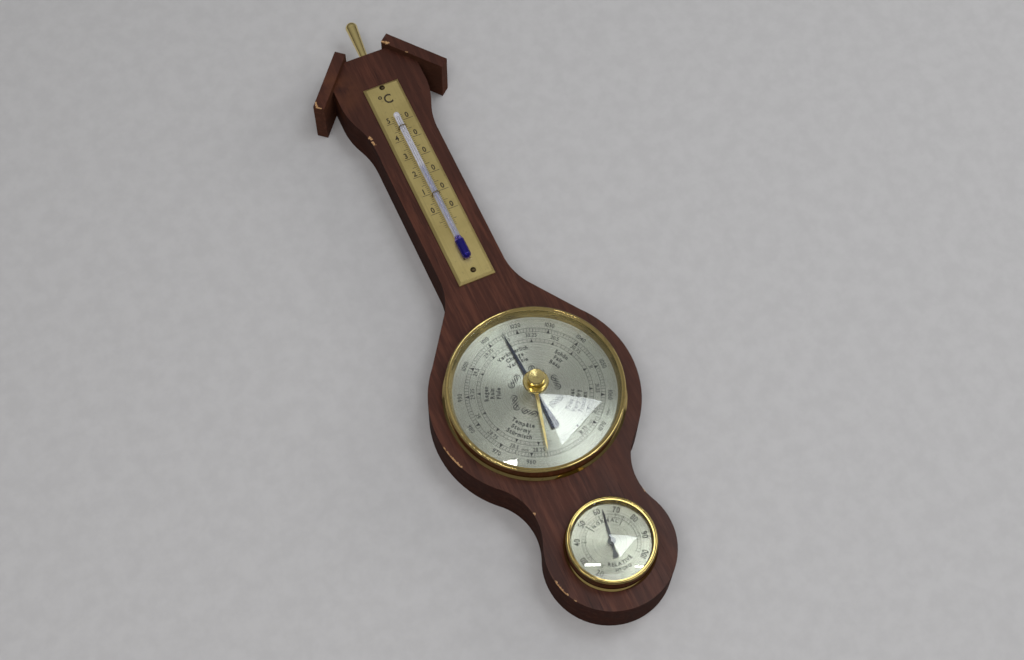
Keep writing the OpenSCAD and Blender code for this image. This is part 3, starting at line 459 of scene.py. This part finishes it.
capsule = plain_metal("capsule_metal", (0.66, 0.64, 0.58), (0.56, 0.54, 0.49), 0.22, 0.34)
dark_screw = plain_metal("dark_screw", (0.16, 0.115, 0.055), (0.07, 0.05, 0.028), 0.3, 0.46)
clip = plain_metal("clip_wire", (0.40, 0.32, 0.18), (0.22, 0.17, 0.10), 0.25, 0.4)

LOOKS = {
    "backboard": wood_board, "pediment_left": wood_left, "pediment_right": wood_right,
    "finial": cast_brass, "hanging_plate": plate_steel, "hanging_screws": plate_steel,
    "thermometer_plate": satin_brass("plate_brass"),
    "thermometer_tube": tube_glass("thermometer_glass"),
    "thermometer_fluid": spirit("blue_spirit"), "tube_clips": clip, "plate_screws": dark_screw,
    "barometer_case": case_metal, "dial_spacer": spacer, "sight_ring": rim_brass,
    "barometer_dial": spun("silver_dial", DIAL, (0.53, 0.545, 0.465), (0.49, 0.50, 0.435),
    (0.24, 0.32), 0.90),
    "barometer_glass": clear, "barometer_bezel": rim_brass, "knob_collar": knob_brass,
    "collar_nut": knob_brass,
    "set_knob": knob_brass, "set_hand": hand_brass, "pressure_hand": blued, "hand_arbor": steel,
    "chain_pulley": works_brass, "base_plate": steel, "base_spacers": works_brass,
    "case_screws": steel,
    "dial_pillars": works_brass, "aneroid_capsule": capsule, "adjusting_screw": works_brass,
    "lever_bracket": steel, "lever_pin": steel, "main_lever": works_brass, "link_rod": steel,
    "rocking_shaft": steel, "rocking_bracket": steel, "drive_chain": steel, "hairspring": blued,
    "arbor_cock": works_brass, "arbor_bridge": works_brass, "bridge_screws": blued,
    "hygrometer_case": case_metal, "hygrometer_spacer": spacer,
    "hygrometer_sight_ring": small_rim_brass,
    "hygrometer_dial": spun("champagne_dial", HYGRO, (0.38, 0.38, 0.31), (0.35, 0.345, 0.28),
    (0.20, 0.28), 0.95),
    "hygrometer_glass": clear, "hygrometer_bezel": small_rim_brass, "hygrometer_hand": black,
    "hygrometer_arbor": steel, "hygrometer_bush": works_brass, "hygrometer_coil": coil,
    "hygrometer_frame": works_brass, "frame_screws": steel,
}
for node_name, look in LOOKS.items():
    mesh = nodes[node_name].data
    mesh.materials.clear()
    mesh.materials.append(look)
missing = set(nodes) - set(LOOKS)
if missing:
    raise RuntimeError("no material for " + ", ".join(sorted(missing)))


# ---------------------------------------------------------------- printed scales

# Print lies this far above its face and is this thick, in mm.
INK_LIFT = 0.006
INK_T = 0.02
# Degrees between the points of a printed circle.
ARC_STEP = 2.0
GLYPHS = {}


def glyph(char, weight):
    """Solid letter of size 1, one unit thick, from the standard font: (points, faces, width)."""
    key = (char, weight)
    if key not in GLYPHS:
        curve = bpy.data.curves.new("glyph", "FONT")
        curve.body = char
        curve.size = 1.0
        curve.extrude = 0.5
        curve.offset = weight
        curve.resolution_u = 3
        holder = bpy.data.objects.new("glyph", curve)
        SCENE.collection.objects.link(holder)
        bpy.context.view_layer.update()
        mesh = holder.to_mesh()
        points = [v.co.copy() for v in mesh.vertices]
        faces = [tuple(p.vertices) for p in mesh.polygons]
        holder.to_mesh_clear()
        bpy.data.objects.remove(holder)
        bpy.data.curves.remove(curve)
        low = min((p.x for p in points), default=0.0)
        high = max((p.x for p in points), default=0.0)
        GLYPHS[key] = ([Vector((p.x - low, p.y, p.z)) for p in points], faces, high - low)
    return GLYPHS[key]


class Print:
    """Collects flat printed shapes, in mm from an origin on a face, into one mesh."""

    def __init__(self, name, origin):
        self.name = name
        self.base = Matrix.Translation(origin) @ Matrix.Scale(MM, 4)
        self.points, self.faces = [], []

    def solid(self, points, faces):
        start = len(self.points)
        self.points += [self.base @ p for p in points]
        self.faces += [tuple(start + i for i in face) for face in faces]

    def prism(self, outline):
        """Closed thin prism over a counter-clockwise outline."""
        count = len(outline)
        points = [Vector((x, y, INK_LIFT)) for x, y in outline]
        points += [Vector((x, y, INK_LIFT + INK_T)) for x, y in outline]
        faces = [tuple(reversed(range(count))), tuple(range(count, 2 * count))]
        faces += [(i, (i + 1) % count, count + (i + 1) % count, count + i) for i in range(count)]
        self.solid(points, faces)

    def bar(self, x0, y0, x1, y1, width):
        along = Vector((x1 - x0, y1 - y0)).normalized() * (width / 2)
        sx, sy = -along.y, along.x
        self.prism([(x0 - sx, y0 - sy), (x1 - sx, y1 - sy), (x1 + sx, y1 + sy),
                (x0 + sx, y0 + sy)])

    def ray(self, angle, r0, r1, width):
        c, s = math.cos(math.radians(angle)), math.sin(math.radians(angle))
        self.bar(r0 * c, r0 * s, r1 * c, r1 * s, width)

    def stroke(self, path, widths):
        """A pen stroke of changing width along a path, in short closed pieces joined end to end."""
        left, right = [], []
        for i, (x, y) in enumerate(path):
            ahead = path[min(i + 1, len(path) - 1)]
            behind = path[max(i - 1, 0)]
            side = Vector((behind[1] - ahead[1],
                    ahead[0] - behind[0])).normalized() * (widths[i] / 2)
            left.append(Vector((x + side.x, y + side.y)))
            right.append(Vector((x - side.x, y - side.y)))
        count = len(path)
        points = []
        for z in (INK_LIFT, INK_LIFT + INK_T):
            points += [Vector((p.x, p.y, z)) for p in right] + [Vector((p.x, p.y,
                    z)) for p in left]
        top = 2 * count
        faces = [(0, count, top + count, top),
                (count - 1, top + count - 1, top + 2 * count - 1, 2 * count - 1)]
        for i in range(count - 1):
            faces.append((i, count + i, count + i + 1, i + 1))
            faces.append((top + i, top + i + 1, top + count + i + 1, top + count + i))
            faces.append((i, i + 1, top + i + 1, top + i))
            faces.append((count + i, top + count + i, top + count + i + 1, count + i + 1))
        self.solid(points, faces)

    def arc(self, radius, start, end, width):
        count = max(2, int(abs(end - start) / ARC_STEP) + 1)
        angles = [math.radians(start + (end - start) * i / (count - 1)) for i in range(count)]
        self.stroke([(radius * math.cos(a), radius * math.sin(a)) for a in angles],
                [width] * count)

    def glyph(self, char, size, x, y, turn, weight, narrow):
        points, faces, _ = glyph(char, weight)
        place = Matrix.Translation((x, y, INK_LIFT + INK_T / 2)) @ Matrix.Rotation(turn, 4, "Z")
        place = place @ Matrix.Diagonal((size * narrow, size, INK_T, 1))
        self.solid([place @ p for p in points], faces)

    def width(self, text, size, weight, narrow, gap):
        total = sum(0.32 if c == " " else glyph(c, weight)[2] for c in text)
        return size * narrow * (total + gap * (len(text) - 1))

    def line(self, text, size, x, y, turn, weight=0.0, narrow=0.85, gap=0.14):
        """A straight line of text with its middle at x, y and its top to the left of its direction."""
        turn = math.radians(turn)
        c, s = math.cos(turn), math.sin(turn)
        at = -self.width(text, size, weight, narrow, gap) / 2
        drop = -0.36 * size
        for char in text:
            wide = 0.32 if char == " " else glyph(char, weight)[2]
            if char != " ":
                self.glyph(char, size, x + at * c - drop * s, y + at * s + drop * c, turn, weight,
                        narrow)
            at += (wide + gap) * size * narrow

    def curved(self, text, size, radius, angle, inward=False, weight=0.0, narrow=0.85, gap=0.2):
        """Text along a circle around the origin, its top outward, or inward at the foot of a dial."""
        total = self.width(text, size, weight, narrow, gap)
        way = 1 if inward else -1
        foot = radius + (0.36 if inward else -0.36) * size
        at = -total / 2
        for char in text:
            wide = 0.32 if char == " " else glyph(char, weight)[2]
            half = wide * size * narrow / 2
            around = math.radians(angle) + way * (at + half) / radius
            if char != " ":
                turn = around + way * math.pi / 2
                cx, cy = foot * math.cos(around), foot * math.sin(around)
                self.glyph(char, size, cx - half * math.cos(turn), cy - half * math.sin(turn),
                        turn, weight, narrow)
            at += (wide + gap) * size * narrow

    def build(self, look):
        mesh = bpy.data.meshes.new(self.name)
        mesh.from_pydata([tuple(p) for p in self.points], [], self.faces)
        bm = bmesh.new()
        bm.from_mesh(mesh)
        bmesh.ops.remove_doubles(bm, verts=bm.verts, dist=1e-8)
        bmesh.ops.recalc_face_normals(bm, faces=bm.faces)
        bm.to_mesh(mesh)
        bm.free()
        mesh.materials.append(look)
        piece = bpy.data.objects.new(self.name, mesh)
        SCENE.collection.objects.link(piece)
        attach(piece, "housing")
        return piece


def triangle(sheet, angle, tip, back, half):
    """A small filled mark on a ring, pointing outward where tip is larger than back."""
    c, s = math.cos(math.radians(angle)), math.sin(math.radians(angle))
    corners = [(tip * c, tip * s), (back * c - half * s, back * s + half * c),
            (back * c + half * s, back * s - half * c)]
    sheet.prism(corners if tip > back else corners[::-1])


def pen_scroll(sheet, x, y, turn, size, flip=1):
    """Traditional penman's scroll: slanting swelled strokes between two curled hairlines."""
    c, s = math.cos(math.radians(turn)), math.sin(math.radians(turn))

    def spot(u, v):
        return x + size * (u * c - flip * v * s), y + size * (u * s + flip * v * c)

    for k in range(4):
        u = 0.42 * (k - 1.5)
        reach = 0.62 - 0.25 * abs(u)
        line = [spot(u - 0.34 + 0.68 * i / 10, -reach + 2 * reach * i / 10) for i in range(11)]
        sheet.stroke(line, [size * (0.03 + 0.15 * math.sin(math.pi * i / 10)) for i in range(11)])
    for end in (1, -1):
        path, widths = [], []
        for i in range(41):
            share = i / 40
            bend = math.radians(-80 + 500 * share)
            reach = 0.56 * (1 - 0.66 * share)
            path.append(spot(end * (0.72 + reach * math.cos(bend)),
                    end * (0.10 + reach * math.sin(bend))))
            widths.append(size * (0.055 + 0.10 * math.sin(math.pi * min(1.0, 1.6 * share))))
        sheet.stroke(path, widths)


# Barometer print: rings, weather words and scrolls, as radii and sizes in mm.
HPA_RING = (37.5, 39.8)
INCH_RING = (31.1, 33.1)
WORD_RINGS = (27.9, 24.4, 20.9)
WORD_SIZE = 3.5
SCROLL_R = 13.2
SCROLL_SIZE = 3.7
SCROLLS = ((128, 1), (62, -1), (2, 1), (-50, -1), (-128, 1), (-172, -1))
# Hygrometer print.
HUMIDITY_RING = (14.2, 15.9)
# Thermometer print: height of the 50 degree line and mm per degree.
TOP_LINE = 119.76
DEGREE = 1.391


def barometer_scale():
    sheet = Print("barometer_scale", Vector((DIAL.x, DIAL.y, DIAL_TOP)))

    def pressure_angle(value):
        return 242.33 - 2.692 * (value - 960)

    def inch_angle(value):
        return 248.7 - 89.8 * (value - 28.25)

    for radius in HPA_RING:
        sheet.arc(radius, pressure_angle(955), pressure_angle(1088), 0.16)
    for value in range(955, 1089):
        sheet.ray(pressure_angle(value), *HPA_RING, 0.20 if value % 5 else 0.3)
    for value in range(960, 1071, 10):
        triangle(sheet, pressure_angle(value), 39.7, 37.2, 1.0)
        sheet.curved(str(value), 3.7, 42.7, pressure_angle(value),
                     value in (960, 970, 980, 1070), 0.012, 0.86, 0.10)
    for radius in INCH_RING:
        sheet.arc(radius, inch_angle(28.1), inch_angle(32.0), 0.15)
    for i in range(79):
        sheet.ray(inch_angle(28.1 + 0.05 * i), *INCH_RING, 0.18)
    for i in range(15):
        value = 28.25 + 0.25 * i
        angle = inch_angle(value)
        triangle(sheet, angle, 33.0, 30.8, 0.85)
        label = ("%.2f" % value).rstrip("0").rstrip(".")
        sheet.curved(label, 3.3, 35.55, angle, value < 29.1 or value > 31.4, 0.012, 0.86, 0.10)
    sheet.curved("inch", 2.6, 35.9, 236.5, True, 0.006, 0.85, 0.12)
    sheet.curved("inch", 2.6, 35.9, 304.2, True, 0.006, 0.85, 0.12)
    sheet.curved("mbar", 2.4, 42.8, 230.3, True, 0.006, 0.85, 0.12)
    sheet.curved("mbar", 2.4, 42.6, 319.2, True, 0.006, 0.85, 0.12)
    groups = (
        (("Tempête", "Stormy", "Stürmisch"), 226.5, True),
        (("Regen", "Rain", "Pluie"), 159.5, False),
        (("Veränderlich", "Change", "Variable"), 94.2, False),
        (("Schön", "Fair", "Beau"), 32.0, False),
        (("Très sec", "Very dry", "Trocken"), 322.0, True),
    )
    for words, angle, inward in groups:
        for word, radius in zip(words, reversed(WORD_RINGS) if inward else WORD_RINGS):
            sheet.curved(word, WORD_SIZE, radius, angle, inward, 0.034, 0.84, 0.14)
    for angle, flip in SCROLLS:
        way = math.radians(angle)
        x, y = SCROLL_R * math.cos(way), SCROLL_R * math.sin(way)
        pen_scroll(sheet, x, y, angle + 78, SCROLL_SIZE, flip)
    return sheet.build(ink("scale_ink", (0.022, 0.024, 0.022), (0.05, 0.052, 0.048)))


def hygrometer_scale():
    sheet = Print("hygrometer_scale", Vector((HYGRO.x, HYGRO.y, HYGRO_TOP)))

    def angle_of(value):
        return 225 - 3.375 * (value - 20)

    for value in range(20, 101, 10):
        sheet.curved(str(value), 4.7, 18.7, angle_of(value), value in (20, 100), 0.014, 0.82, 0.08)
        sheet.ray(angle_of(value), 13.3, 16.3, 0.26)
    for radius in HUMIDITY_RING:
        sheet.arc(radius, angle_of(20), angle_of(100), 0.15)
    for value in range(20, 101, 2):
        sheet.ray(angle_of(value), *HUMIDITY_RING, 0.14)
    for value in (50, 75):
        sheet.ray(angle_of(value), 10.6, 16.2, 0.34)
    sheet.curved("NORMAL", 2.9, 12.6, 82.7, False, 0.022, 0.92, 0.36)
    sheet.curved("RELATIVE", 3.0, 12.7, -92.5, True, 0.022, 0.92, 0.14)
    sheet.curved("HYGRO", 2.7, 16.0, -91, True, 0.022, 0.88, 0.12)
    return sheet.build(ink("hygrometer_ink", (0.028, 0.027, 0.024), (0.06, 0.058, 0.05)))


def thermometer_scale():
    middle = (PLATE_LOW.x + PLATE_HIGH.x) / 2
    sheet = Print("thermometer_scale", Vector((middle, PLATE_LOW.y, PLATE_HIGH.z)))

    def height(degrees):
        return TOP_LINE - DEGREE * (50 - degrees)

    for degree in range(-8, 54):
        y = height(degree)
        if degree % 10 == 0:
            sheet.bar(2.3, y, 9.2, y, 0.34)
            sheet.bar(-7.9, y, -2.3, y, 0.34)
        elif degree % 5 == 0:
            sheet.bar(2.3, y, 5.5, y, 0.32)
            sheet.bar(-5.4, y, -2.3, y, 0.32)
        else:
            sheet.bar(2.2, y, 3.7, y, 0.30)
            sheet.bar(-3.7, y, -2.2, y, 0.30)
    for degree in range(0, 51, 10):
        sheet.line(str(degree // 10), 5.3, -5.9, height(degree) + 3.0, 0, 0.030, 0.82)
        sheet.line("0", 5.3, 6.3, height(degree) + 3.0, 0, 0.030, 0.82)
    sheet.line("C", 9.4, 0.3, 138.1, 0, 0.020, 0.84)
    ring = [(-4.1 + 0.9 * math.cos(math.tau * i / 20),
            140.4 + 0.9 * math.sin(math.tau * i / 20)) for i in range(21)]
    sheet.stroke(ring, [0.75] * 21)
    return sheet.build(ink("plate_ink", (0.040, 0.027, 0.012), (0.085, 0.06, 0.026)))


barometer_scale()
hygrometer_scale()
thermometer_scale()


# ---------------------------------------------------------------- stage, light and camera

def flat_piece(name, corners, look):
    mesh = bpy.data.meshes.new(name)
    mesh.from_pydata(corners, [], [tuple(range(len(corners)))])
    mesh.materials.append(look)
    piece = bpy.data.objects.new(name, mesh)
    SCENE.collection.objects.link(piece)
    return piece


def floor_look():
    g = Graph("floor")
    mottle = g.noise(90, detail=5, roughness=0.6)
    g.set(Base_Color=g.mix(g.span(mottle, 0.3, 0.7), (0.60, 0.59, 0.60), (0.64, 0.63, 0.64)),
            Roughness=0.9,
          Normal=g.bump(mottle, 0.0002, 0.3))
    return g.mat


FLOOR_HALF = 4.0
FLOOR_Z = -0.0004
CEILING_Z = 1.4
flat_piece("floor", [(-FLOOR_HALF, -FLOOR_HALF, FLOOR_Z), (FLOOR_HALF, -FLOOR_HALF, FLOOR_Z),
                     (FLOOR_HALF, FLOOR_HALF, FLOOR_Z), (-FLOOR_HALF, FLOOR_HALF, FLOOR_Z)],
                     floor_look())


def window():
    """Overhead window whose bright shape shows in the domed glasses."""
    mat = bpy.data.materials.new("window_light")
    mat.use_nodes = True
    tree = mat.node_tree
    tree.nodes.clear()
    glow = tree.nodes.new("ShaderNodeEmission")
    glow.inputs["Color"].default_value = (0.92, 0.97, 1.0, 1.0)
    glow.inputs["Strength"].default_value = 4.9
    out = tree.nodes.new("ShaderNodeOutputMaterial")
    tree.links.new(glow.outputs[0], out.inputs["Surface"])
    piece = flat_piece("window", [(0.25, 0.31, CEILING_Z), (0.245, -0.337, CEILING_Z),
            (0.98, 0.01, CEILING_Z)], mat)
    piece.visible_camera = False


def area(name, place, aim, size, radiance, colour):
    data = bpy.data.lights.new(name, "AREA")
    data.shape = "RECTANGLE"
    data.size, data.size_y = size
    data.energy = radiance * math.pi * size[0] * size[1]
    data.color = colour
    lamp = bpy.data.objects.new(name, data)
    lamp.visible_camera = False
    look = (Vector(aim) - Vector(place)).to_track_quat("-Z", "Y").to_matrix().to_4x4()
    lamp.matrix_world = Matrix.Translation(place) @ look
    SCENE.collection.objects.link(lamp)
    return lamp


def strip(name, x, y, length, width, turn, radiance):
    """A ceiling tube, facing straight down."""
    lamp = area(name, (x, y, CEILING_Z), (x, y, 0.0), (length, width), radiance, (1.0, 0.98, 0.97))
    lamp.matrix_world = Matrix.Translation((x, y, CEILING_Z)) @ Matrix.Rotation(math.radians(turn),
            4, "Z")


WARM_WHITE = (1.0, 0.985, 0.96)
window()
strip("strip_left", -0.50, -0.22, 0.46, 0.07, -26, 22)
strip("strip_front", 0.69, -0.79, 0.30, 0.06, -21, 22)
area("side_softbox", (1.6, 0.1, 0.62), (0, 0, 0), (1.1, 0.6), 0.8, WARM_WHITE)
front = area("front_softbox", (-0.42, -0.95, 1.45), (0, 0, 0), (0.9, 0.7), 3.0, WARM_WHITE)
side = area("side_fill", (1.5, 0.2, 0.8), (0, 0, 0), (1.0, 0.6), 1.5, WARM_WHITE)
for lamp in (front, side):  # these light the wood but don't show in the brass and glass
    lamp.visible_glossy = False


def world():
    made = bpy.data.worlds.new("studio")
    made.use_nodes = True
    tree = made.node_tree
    tree.nodes.clear()
    coord = tree.nodes.new("ShaderNodeTexCoord")
    split = tree.nodes.new("ShaderNodeSeparateXYZ")
    tree.links.new(coord.outputs["Generated"], split.inputs[0])
    shade = tree.nodes.new("ShaderNodeValToRGB")
    shade.color_ramp.elements[0].position = 0.0
    shade.color_ramp.elements[0].color = (0.07, 0.066, 0.062, 1)
    shade.color_ramp.elements[1].position = 1.0
    shade.color_ramp.elements[1].color = (0.36, 0.365, 0.365, 1)
    middle = shade.color_ramp.elements.new(0.45)
    middle.color = (0.19, 0.188, 0.182, 1)
    tree.links.new(split.outputs[2], shade.inputs[0])
    room = tree.nodes.new("ShaderNodeBackground")
    tree.links.new(shade.outputs[0], room.inputs[0])
    room.inputs[1].default_value = 1.0
    seen = tree.nodes.new("ShaderNodeBackground")
    seen.inputs[0].default_value = (0.80, 0.80, 0.80, 1)
    seen.inputs[1].default_value = 1.0
    path = tree.nodes.new("ShaderNodeLightPath")
    mixer = tree.nodes.new("ShaderNodeMixShader")
    tree.links.new(path.outputs["Is Camera Ray"], mixer.inputs[0])
    tree.links.new(room.outputs[0], mixer.inputs[1])
    tree.links.new(seen.outputs[0], mixer.inputs[2])
    out = tree.nodes.new("ShaderNodeOutputWorld")
    tree.links.new(mixer.outputs[0], out.inputs["Surface"])
    SCENE.world = made


world()


def camera():
    data = bpy.data.cameras.new("camera")
    data.sensor_fit = "HORIZONTAL"
    data.sensor_width = 36.0
    data.lens = 57.8956
    data.clip_start = 0.01
    place = Vector((-0.18154621, -0.41145924, 0.88437646))
    right = Vector((0.91069277, -0.4127684, 0.01615304))
    up = Vector((0.36402007, 0.82039518, 0.44095481))
    back = Vector((-0.19526408, -0.39569433, 0.89738394))
    made = bpy.data.objects.new("camera", data)
    made.matrix_world = Matrix.Translation(place) @ Matrix((right, up, back)).transposed().to_4x4()
    SCENE.collection.objects.link(made)
    SCENE.camera = made


camera()
SCENE.view_settings.view_transform = "Standard"
